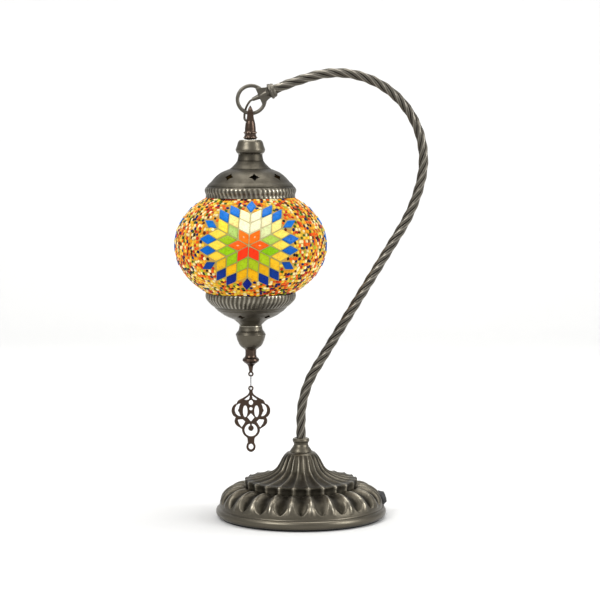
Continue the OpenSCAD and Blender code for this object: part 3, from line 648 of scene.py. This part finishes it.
def build_neck():
    """Four strands twisted right-handed, each with three fine wires and a groove beside it."""
    line = neck_line(0.8)
    sides = 96
    angle = np.arange(sides) * TAU / sides
    lobe = (angle + TAU / 8) % (TAU / 4) - TAU / 8
    radius = STRAND_OFF * np.cos(lobe) + np.sqrt(STRAND_R ** 2 - (STRAND_OFF * np.sin(lobe)) ** 2)
    groove = np.exp(-((np.abs(lobe) - TAU / 8) / 0.07) ** 2)
    wires = np.cos(3 * TAU * lobe / (TAU / 4))
    radius = radius - 0.35 * groove + 0.09 * (wires - 1)
    spin = angle[None, :] + TAU * line[:, 3:4] / ROPE_LEAD
    heading = np.radians(line[:, 2:3])
    x = line[:, :1] + radius * np.cos(spin) * np.sin(heading)
    y = radius * np.sin(spin)
    z = line[:, 1:2] - radius * np.cos(spin) * np.cos(heading)
    points = np.stack([x, y, z], -1).reshape(-1, 3)
    # Painted highlight on each strand's outer top and its fine wires, painted shade in the grooves, read by
    # the metal as its crest.
    shine = 0.75 * np.clip((radius - 3.05) / 1.1, 0, 1) ** 1.6 + 0.2 * wires
    crest = np.tile(np.clip(shine, 0, 1), len(line))
    piece("neck_rope", points, grid(len(line), sides), "stand", "neck_bronze", ROPE, ("swan_neck",),
          crest=crest)


def build_hanger_glint_beads():
    """Two rows of fine raised beads round the hanger's lower collar, set bright to stand for highlight dots.
    """
    beads, bead_r, sides = 14, 0.62, 8
    tilts = [math.radians(a) for a in (-90, -50, -15, 20, 55, 90)]
    points, faces = [], []
    for row, (r, z) in enumerate(((5.45, 325.6), (5.3, 329.7))):
        for i in range(beads):
            a = TAU * (i + 0.5 * row) / beads
            middle = np.array([SHADE_X + r * math.cos(a), r * math.sin(a), z])
            faces += shifted(grid(len(tilts), sides), len(points))
            for t in tilts:
                for b in np.arange(sides) * TAU / sides:
                    out = np.array([math.cos(t) * math.cos(b), math.cos(t) * math.sin(b), math.sin(t)])
                    points.append(middle + bead_r * out)
    # A high crest paints the beads bright: painted highlights.
    piece("hanger_glint_beading", points, faces, "hanger", "copper_brown", COPPER, crest=np.full(len(points), 0.95))


def build_ring_lead():
    """The flex that leaves the horn, drops behind the ring and enters the hanger."""
    sides = 16
    route = flowing([[-41.4, 0, 357.7], [-43.4, 0.3, 356.2], [-45.1, 1, 353.8], [-46.5, 2, 351.2],
                     [-47.4, 3, 348.6], [-47.9, 3.5, 346.2], [-48.1, 2.6, 343.8], [-48, 1.2, 341.7],
                     [-47.2, 0.2, 340.3], [-46, 0, 339.85], [-43.2, 0, 339.6]], 5)
    made = piece("ring_flex", sweep(route, 0.95, sides), grid(len(route), sides), None, "lead_cover", LEAD,
                 ("ring_lead",))
    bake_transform(made)


# ---------------------------------------------------------------- caps

TOP_OUTLINE = [[38.2, 274.9], [37.9, 276], [37.8, 277.6], [38.7, 280.2], [38.4, 282.6], [36.8, 284.7],
               [35.4, 286.4], [33.6, 288], [31.9, 290], [29.6, 292.4], [26.8, 294.8], [23.6, 296.7],
               [20, 298.2], [16.8, 299.8], [14.4, 302], [12.2, 304.4], [11.1, 306.6], [10.4, 309.6],
               [10.3, 311.6]]
BOTTOM_OUTLINE = [[9.2, 165.6], [9.8, 166.4], [11.6, 168.2], [13.2, 169.6], [15, 170.9], [18.6, 172.4],
                  [22.4, 174.2], [25.8, 176.6], [28.8, 178.7], [31.2, 181.2], [33.8, 183.7], [36, 186],
                  [37.8, 188.4], [38.5, 191.4], [38.2, 193.7]]
CAP_COLUMNS = 360
CAP_WALL = 0.9
RIDGES = 60
RIDGE_DEPTH = 0.7
GROOVE = 0.32


def ridged(profile, low, high, slant):
    """Slanted ridges on a band between two heights: shift along the normal, and crest or -1 off the band."""
    z = profile[:, 1]
    band = np.clip(np.sin(np.pi * np.clip((z - low) / (high - low), 0, 1)), 0, 1) ** 0.35
    band = band * ((z > low) & (z < high))

    def relief(row, bearing):
        wave = np.abs(np.sin(bearing * RIDGES / 2 + (z[row] - low) * slant))
        # The crest paints highlights on the ridges' tops and shade between them.
        crest = np.where(band[row] > 0.02, 0.1 + 0.8 * wave, -1)
        return RIDGE_DEPTH * band[row] * (wave ** 0.7 - 0.55), crest

    return relief


def build_cap(name, node, outline, band, stars, grooves, tone):
    """A spun cap: outer skin with ridges and grooves, inner skin, and star piercings cut through."""
    outer = flowing(outline, 6)
    inner = outer[::-1] - normals_of(outer)[::-1] * CAP_WALL
    relief = ridged(outer, *band)
    store = {}
    line = sum(-GROOVE * np.exp(-((outer[:, 1] - at) / GROOVE) ** 2) for at in grooves)

    def shift(row, bearing):
        d, crest = relief(row, bearing)
        # Off the ridged band the crest is the cap's tone, darker in the grooves: painted shade.
        base = np.clip(tone + line * 0.6, 0, 1)[row]
        store["crest"] = np.where(crest < 0, base, crest)
        return d + line[row]

    skin = revolve(outer, CAP_COLUMNS, SHADE_X, shift)
    lining = revolve(inner, CAP_COLUMNS, SHADE_X)
    crest = np.concatenate([np.broadcast_to(store["crest"], (len(outer), CAP_COLUMNS)).ravel(),
                            np.full(len(lining), 0.2)])
    rows = len(outer) + len(inner)
    last = (rows - 1) * CAP_COLUMNS
    faces = grid(rows, CAP_COLUMNS)
    # The last ring of the lining joins the first ring of the skin.
    for k in range(CAP_COLUMNS):
        m = (k + 1) % CAP_COLUMNS
        faces.append((last + k, last + m, m, k))
    made = piece(name, np.vstack([skin, lining]), faces, "shade", "antique_brass", BRASS, (node,),
                 crest=crest)
    cut_stars(made, *stars)


def cut_stars(made, count, first, r, z, tilt, size):
    """Cuts four-pointed stars through a cap's wall: first bearing, middle's place, tilt and reach."""
    points, faces = [], []
    for i in range(count):
        turn = math.radians(first + 360 / count * i - 90)
        start = len(points)
        for depth in (-4, 5):
            for k in range(8):
                reach = size if k % 2 == 0 else size * 0.56
                a = math.radians(45 * k)
                local = Euler((0, math.radians(tilt), 0)).to_matrix() @ Vector(
                    (reach * math.cos(a), reach * math.sin(a), depth))
                local += Vector((r, 0, z))
                spot = Euler((0, 0, turn)).to_matrix() @ local
                points.append((spot.x + SHADE_X, spot.y, spot.z))
        faces += [[start + k for k in range(7, -1, -1)], [start + 8 + k for k in range(8)]]
        faces += [[start + k, start + (k + 1) % 8, start + 8 + (k + 1) % 8, start + 8 + k] for k in range(8)]
    mesh = bpy.data.meshes.new("cutter")
    mesh.from_pydata((np.array(points) * MM).tolist(), [], faces)
    cutter = bpy.data.objects.new("cutter", mesh)
    bpy.context.scene.collection.objects.link(cutter)
    cut = made.modifiers.new("stars", "BOOLEAN")
    cut.operation = "DIFFERENCE"
    cut.solver = "EXACT"
    cut.object = cutter
    bake(made)
    bpy.data.objects.remove(cutter)


# ---------------------------------------------------------------- mosaic

# Half-width and half-height of the finished globe, and of the seat that the tiles and beads are pressed on.
GLOBE_A, GLOBE_B = 65.0, 50.0
SEAT_A, SEAT_B = 63.3, 48.3
# The stars lie on a lattice of 60-degree rhombi: its pitch, and the radius that turns it into latitude.
LATTICE = 10.5
LAT_PITCH = 57.1
STAR_LON, STAR_LAT = 0.0, 4.0
STAR_SHEAR = 0.045
STAR_REACH = 6
JOINT = 0.55
TIP_SIZE = 0.86
STAR_TURNS = [math.radians(a) for a in (0, 120, -120)]
# Parametric latitude of the globe's two openings.
MOUTH = math.acos(37.4 / GLOBE_A)
# Where the bulb shows through, from each star's middle and the equator, and how wide, in radians.
HOT_LON, HOT_LAT, HOT_WIDTH = 0.07, 0.42, 0.27


def arm(k):
    """Unit arm number k of the lattice."""
    return np.array([math.cos(math.radians(60 * k + 30)), math.sin(math.radians(60 * k + 30))])


def lat_lon(q):
    """Parametric latitude and longitude, in radians, of a lattice point of the front star."""
    lat = math.radians(STAR_LAT) + q[1] * LATTICE / LAT_PITCH
    lon = math.radians(STAR_LON) + (q[0] + STAR_SHEAR * q[1]) * LATTICE / (GLOBE_A * math.cos(lat))
    return lat, lon


def on_globe(lat, lon, a, b):
    """A point of the ellipsoid with half-width a and half-height b, from the globe's middle."""
    return np.array([a * math.cos(lat) * math.sin(lon), -a * math.cos(lat) * math.cos(lon),
                     b * math.sin(lat)])


def outward(lat, lon):
    """The globe's outward normal."""
    n = np.array([math.cos(lat) * math.sin(lon) / GLOBE_A, -math.cos(lat) * math.cos(lon) / GLOBE_A,
                  math.sin(lat) / GLOBE_B])
    return n / np.linalg.norm(n)


def from_star(lon):
    """Longitude from the middle of the nearest star."""
    sides = [(lon - math.radians(STAR_LON) - turn + math.pi) % TAU - math.pi for turn in STAR_TURNS]
    return min(sides, key=abs)


def hot(lat, lon):
    """How strongly the bulb shows through: brightest a little above each star's middle."""
    side = from_star(lon) - HOT_LON
    high = lat - HOT_LAT
    return math.exp(-(side / HOT_WIDTH) ** 2 - (high / HOT_WIDTH) ** 2)


# Each ring's tiles: the lattice corner nearest the star's middle, and the two arms from it.
CELLS_OF = {
    "red": [(0 * arm(k), arm(k - 1), arm(k)) for k in range(6)],
    "green": [(arm(k), arm(k), arm(k + s)) for k in range(6) for s in (-1, 1)],
    "yellow": [(arm(k - 1) + arm(k), arm(k - 1), arm(k)) for k in range(6)]
    + [(2 * arm(k), arm(k), arm(k + s)) for k in range(6) for s in (-1, 1)],
    "blue": [(2 * arm(k) + arm(k + s), arm(k), arm(k + s)) for k in range(6) for s in (-1, 1)]
    + [(3.08 * arm(k), TIP_SIZE * arm(k - 0.5), TIP_SIZE * arm(k + 0.5)) for k in range(6)],
}


def between(a, b, part):
    """The colour that lies part of the way from a to b."""
    part = min(max(part, 0.0), 1.0)
    return np.array(a) * (1 - part) + np.array(b) * part


TILE_GLOW = {"red": 1.1, "green": 1.12, "yellow": 1.12, "blue": 0.95}
# A tile's outline on each level of its height, in millimetres, with how far it is drawn in and its painted
# shade, darkest at its foot.
TILE_LEVELS = ((0.2, 1.0, 0.5), (1.15, 1.0, 0.6), (1.5, 0.96, 0.82), (1.62, 0.89, 0.98), (1.7, 0.5, 1.04),
               (1.71, 0.2, 1.06))
TILE_TOP = 1.72
TILE_SINK = 0.1
EDGE_STEPS = 4
GLINT = np.array([1.0, 0.86, 0.5])


def tile_tint(ring, lat, lon, rng):
    """Colour of one tile: paler where the bulb is behind it, and deeper and darker low down where less of its
    light comes through: painted light and shade.
    """
    h = hot(lat, lon)
    up = (math.degrees(lat) - STAR_LAT) / 9.0
    low = min(max(-up / 4.0, 0), 1)
    wild = rng.uniform(-1, 1)
    if ring == "red":
        tint = between((0.9, 0.04, 0.008), (0.96, 0.2, 0.012), 0.45 + 0.55 * up + 0.12 * wild)
    elif ring == "green":
        tint = between((0.22, 0.55, 0.005), (0.38, 0.5, 0.01), 0.25 + 0.8 * low + 0.4 * wild)
        tint = between(tint, (0.98, 0.97, 0.62), 1.5 * h - 0.2)
    elif ring == "yellow":
        tint = between((0.98, 0.7, 0.015), (0.99, 0.76, 0.11), 0.5 + 0.5 * wild)
        tint = between(tint, (0.76, 0.4, 0.004), 1.5 * low + 0.1 * wild)
        tint = between(tint, (1.0, 0.96, 0.62), 1.6 * h - 0.1)
    else:
        tint = between((0.004, 0.2, 0.75), (0.003, 0.015, 0.22), 0.3 - 0.17 * up + 0.14 * wild)
    return tint * (1 + 0.08 * rng.uniform(-1, 1))


def tile_outline(corners, seat, normal):
    """Points round a tile in the plane that touches the seat at its middle, with its corners eased."""
    flat = []
    for q in corners:
        spot = on_globe(*lat_lon(q), SEAT_A, SEAT_B) - seat
        flat.append(spot - normal * (spot @ normal))
    loop = []
    for k in range(4):
        a, b = flat[k], flat[(k + 1) % 4]
        loop += [a + (b - a) * i / EDGE_STEPS for i in range(EDGE_STEPS)]
    eased = np.array([0.045 if i % EDGE_STEPS == 0 else 0.0 for i in range(4 * EDGE_STEPS)])
    return np.array(loop) * (1 - eased[:, None])


def tile_points(corners, lat, lon, rng):
    """Points of one tile on the front star, a little lifted and tipped as laid by hand."""
    normal = outward(lat, lon)
    seat = on_globe(lat, lon, SEAT_A, SEAT_B)
    loop = tile_outline(corners, seat, normal)
    lift = rng.uniform(0.1, 0.35) - TILE_SINK
    tip = np.array([rng.uniform(-0.012, 0.012) for _ in range(3)])
    points = []
    for height, shrink, _ in TILE_LEVELS:
        for spot in loop:
            local = spot * shrink
            points.append(seat + local + normal * (height + lift + local @ tip))
    return points + [seat + normal * (TILE_TOP + lift)]


def build_tiles():
    """The stars' tiles, one piece to a ring of one colour."""
    rng = random.Random(11)
    around = 4 * EDGE_STEPS
    top = (len(TILE_LEVELS) - 1) * around
    walls = grid(len(TILE_LEVELS), around)
    fan = [(top + k, top + (k + 1) % around, top + around) for k in range(around)]
    for ring, cells in CELLS_OF.items():
        points, faces, tints = [], [], []
        for turn in STAR_TURNS:
            spin = np.array([[math.cos(turn), -math.sin(turn), 0], [math.sin(turn), math.cos(turn), 0],
                             [0, 0, 1]])
            for corner, p, s in cells:
                middle = corner + (p + s) / 2
                keep = 1 - (JOINT + rng.uniform(-0.25, 0.2)) / (LATTICE * math.sin(math.radians(60)))
                corners = []
                for q in (corner, corner + p, corner + p + s, corner + s):
                    stray = np.array([rng.uniform(-0.018, 0.018) for _ in range(2)])
                    corners.append(middle + (q - middle) * keep + stray)
                lat, lon = lat_lon(middle)
                tint = tile_tint(ring, lat, lon, rng)
                faces += shifted(walls + fan, len(points))
                points += [spin @ spot for spot in tile_points(corners, lat, lon, rng)]
                tints += [tint * shade for _, _, shade in TILE_LEVELS for _ in range(around)]
                # A painted glint of the bulb's filaments on the middle point of the side and upper red tiles.
                lit_through = ring == "red" and middle[1] > -0.3
                tints.append(GLINT if lit_through else tint)
        points = np.array(points) + [SHADE_X, 0, GLOBE_Z]
        piece(f"{ring}_mosaic", points, faces, "shade", f"{ring}_glass", TILE, (f"{ring}_tiles",),
              tint=np.array(tints), glow=np.full(len(points), TILE_GLOW[ring]))


def star_solvers():
    """For each cell of a star: its corner, and the matrix that gives a point's place along its two arms."""
    return [(corner, np.linalg.inv(np.column_stack([p, s])), LATTICE * np.linalg.norm(p))
            for cells in CELLS_OF.values() for corner, p, s in cells]


STAR_CELLS = star_solvers()


def on_star(lat, lon, margin):
    """Whether a point of the globe lies on a star's tile, with a margin in millimetres round it."""
    side = from_star(lon)
    v = (lat - math.radians(STAR_LAT)) * LAT_PITCH / LATTICE
    u = side * GLOBE_A * math.cos(lat) / LATTICE - STAR_SHEAR * v
    if u * u + v * v > STAR_REACH ** 2:
        return False
    for corner, solver, length in STAR_CELLS:
        m, n = solver @ (np.array([u, v]) - corner)
        extra = margin / length
        if -extra < m < 1 + extra and -extra < n < 1 + extra:
            return True
    return False


# How common each colour of bead is, and the colour.
BEAD_COLOURS = (
    (0.2, (0.95, 0.62, 0.05)), (0.16, (1.0, 0.84, 0.4)), (0.15, (0.92, 0.38, 0.012)),
    (0.14, (0.85, 0.12, 0.006)), (0.09, (0.55, 0.025, 0.006)), (0.06, (0.14, 0.02, 0.006)),
    (0.08, (0.006, 0.012, 0.1)), (0.06, (0.016, 0.01, 0.012)), (0.06, (0.05, 0.12, 0.006)),
    (0.03, (0.4, 0.5, 0.03)),
)
BEAD_GLOW = 1.08
BEAD_PITCH = 2.75
# A bead's rings: height and width as parts of the whole bead's.
BEAD_RINGS = ((0.0, 1.0), (0.8, 0.95), (0.96, 0.62))
BEAD_SIDES = 7
MEAN_R = 57


def bead_tint(lat, rng):
    """A bead's colour, picked by how common it is, and dimmer near the bottom of the globe."""
    pick = rng.random() * sum(w for w, _ in BEAD_COLOURS)
    for weight, colour in BEAD_COLOURS:
        pick -= weight
        if pick <= 0:
            break
    tint = np.array(colour) * (1 + 0.16 * rng.uniform(-1, 1))
    low = min(max((-0.35 - lat) / 0.6, 0), 1)
    return tint * (1 - 0.22 * low)


def bead_points(lat, lon, rng):
    """Points of one oval bead on the seat, turned and sized at random."""
    n = outward(lat, lon)
    east = np.array([math.cos(lon), math.sin(lon), 0.0])
    north = np.cross(n, east)
    size = BEAD_PITCH * 0.56 * rng.uniform(0.84, 1.12)
    tall = 1.5 * rng.uniform(0.88, 1.1)
    long, spin = rng.uniform(0.82, 1.2), rng.uniform(0, TAU)
    seat = on_globe(lat, lon, SEAT_A, SEAT_B)
    points = []
    for height, wide in BEAD_RINGS:
        for k in range(BEAD_SIDES):
            a = TAU * k / BEAD_SIDES
            x, y = size * wide * long * math.cos(a), size * wide / long * math.sin(a)
            x, y = x * math.cos(spin) - y * math.sin(spin), x * math.sin(spin) + y * math.cos(spin)
            points.append(seat + east * x + north * y + n * tall * height)
    return points + [seat + n * tall]


def build_beads():
    """Seed beads pressed in by hand: uneven rows round the globe between the stars."""
    rng = random.Random(5)
    points, faces, tints = [], [], []
    # Arc length from the lower opening to a parametric latitude, by small steps.
    fine = np.linspace(-MOUTH, MOUTH, 2001)
    arc = np.cumsum(np.hypot(GLOBE_A * np.sin(fine), GLOBE_B * np.cos(fine)) * (fine[1] - fine[0]))
    rows = int(arc[-1] / BEAD_PITCH)
    row_step = arc[-1] / rows
    top = (len(BEAD_RINGS) - 1) * BEAD_SIDES
    fan = [(top + k, top + (k + 1) % BEAD_SIDES, top + BEAD_SIDES) for k in range(BEAD_SIDES)]
    template = grid(len(BEAD_RINGS), BEAD_SIDES) + fan
    for j in range(rows):
        lat_row = float(np.interp((j + 0.5) * row_step, arc, fine))
        count = int(TAU * GLOBE_A * math.cos(lat_row) / BEAD_PITCH)
        start_at = rng.random()
        for i in range(count):
            lon = TAU * (i + start_at + rng.uniform(-0.24, 0.24)) / count
            lat = lat_row + rng.uniform(-0.24, 0.24) * row_step / MEAN_R
            if abs(lat) > MOUTH - 0.012 or on_star(lat, lon, 1.0):
                continue
            faces += shifted(template, len(points))
            points += bead_points(lat, lon, rng)
            tint = bead_tint(lat, rng)
            # Each bead's lower rings are darker than its top: painted shade on its sides.
            tints += [tint * 0.7] * top + [tint] * (BEAD_SIDES + 1)
    points = np.array(points) + [SHADE_X, 0, GLOBE_Z]
    piece("seed_beads", points, faces, "shade", "seed_beads", BEAD, ("bead_layer",),
          tint=np.array(tints), glow=np.full(len(points), BEAD_GLOW))


# How far the plaster stands over the seat, and how far its edges turn in under it.
GROUT_RISE = 0.85
GROUT_TURN = 0.7
GROUT_GLOW = 0.95


def grout_tint(lat, lon):
    """Between a star's tiles, dull olive painted paler cream where the bulb shows through; amber round the
    beads that reddens towards the caps.
    """
    if on_star(lat, lon, 0.5):
        return between((0.42, 0.4, 0.12), (0.85, 0.8, 0.45), hot(lat, lon))
    return between((0.7, 0.36, 0.04), (0.5, 0.07, 0.01), (abs(lat) - MOUTH + 0.06) / 0.05)


def build_grout():
    """Plaster surface that fills the joints to about half of the pieces' height."""
    lats = np.linspace(-MOUTH, MOUTH, 120)
    columns = 300
    lons = np.arange(columns) * TAU / columns
    skin = [on_globe(lat, lon, SEAT_A + GROUT_RISE, SEAT_B + GROUT_RISE) for lat in lats for lon in lons]
    tints = [grout_tint(lat, lon) for lat in lats for lon in lons]
    # A ring below the surface at each opening turns its edge in.
    below, above = ([on_globe(lat, lon, SEAT_A - GROUT_TURN, SEAT_B - GROUT_TURN) for lon in lons]
                    for lat in (-MOUTH, MOUTH))
    points = np.array(below + skin + above) + [SHADE_X, 0, GLOBE_Z]
    tints = tints[:columns] + tints + tints[-columns:]
    piece("grout_joints", points, grid(len(lats) + 2, columns), "shade", "grout", GROUT, ("grout_layer",),
          tint=np.array(tints), glow=np.full(len(points), GROUT_GLOW))


# ---------------------------------------------------------------- the rest of the CAD nodes

NODE_MATERIALS = {
    "base_weight": IRON, "base_plate": ZINC, "felt_pad": FELT, "plate_screws": ZINC, "cable_grommet": BLACK,
    "connector_block": PORCELAIN, "stem_nipple": ZINC, "stem_washer": ZINC, "stem_nut": ZINC,
    "neck_lead": LEAD, "drop_lead": LEAD, "shade_nipple": ZINC, "cap_washer": ZINC, "cap_nut": ZINC,
    "top_clips": ZINC, "lamp_holder": BLACK, "holder_sleeve": CONTACT, "bulb_cap": SPUN, "bulb_glass": CLEAR,
    "bulb_stem": CLEAR, "bulb_filaments": FILAMENT, "glass_globe": CLEAR, "bottom_clips": ZINC,
    "finial_screw": ZINC, "pendant_thread": THREAD, "pendant_loop": THREAD,
}


def dress_nodes():
    """The CAD nodes that stay visible get their materials."""
    for node, material in NODE_MATERIALS.items():
        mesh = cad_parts[node].data
        mesh.materials.clear()
        mesh.materials.append(material)


bpy.context.scene.view_settings.view_transform = "Standard"
make_camera()
build_stage()
dress_nodes()
build_base()
build_neck()
turned_like("collar_turned", "stem_collar", 0, "stand", 5.6)
softened("arm_casting", "arm_end", "stand", ROPE, 0.2, 3)
build_ring_lead()
softened("hanger_casting", "hanger", "hanger", COPPER, 0.16, 3)
build_hanger_glint_beads()
turned_like("top_nut_turned", "top_nut", SHADE_X, "shade", 5)
build_cap("top_cap_spun", "top_cap", TOP_OUTLINE, band=(275.2, 283.2, 0.16),
          stars=(8, 8, 29, 292.8, 40, 4.3), grooves=(284.4, 299.2, 306.0), tone=0.2)
build_cap("bottom_cap_spun", "bottom_cap", BOTTOM_OUTLINE, band=(182.2, 193.2, -0.16),
          stars=(6, -20, 22.2, 174.6, 150, 3.4), grooves=(179.2, 181.4), tone=0.45)
build_grout()
build_beads()
build_tiles()
turned_like("bottom_nut_turned", "bottom_nut", SHADE_X, "shade", 4)
softened("finial_casting", "finial", "shade", COPPER, 0.14, 3)
softened("pendant_casting", "pendant", "pendant", COPPER, 0.16, 2)
